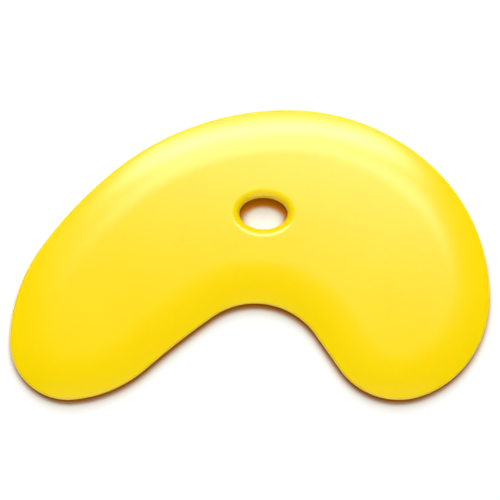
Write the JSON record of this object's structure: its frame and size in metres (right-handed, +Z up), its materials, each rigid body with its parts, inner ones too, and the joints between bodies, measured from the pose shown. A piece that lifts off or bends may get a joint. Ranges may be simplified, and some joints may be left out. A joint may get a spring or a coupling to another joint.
{
  "type": "pottery rib",
  "caption": "Kidney-shaped flexible pottery rib with a thin rounded working edge, a hollow notch and an oval finger hole, for shaping and smoothing clay.",
  "frame": {"origin": "middle of the length and width, on the flat lower face that the rib lies on", "axes": "+X along the length from the small lobe to the large one, +Y across it from the notch to the round back, +Z up through the thickness"},
  "size_m": [0.16, 0.097, 0.006],
  "materials": {
    "rib_polyurethane": "satin"
  },
  "bodies": {
    "root": {"rib_body": "rib_polyurethane"}
  },
  "joints": []
}
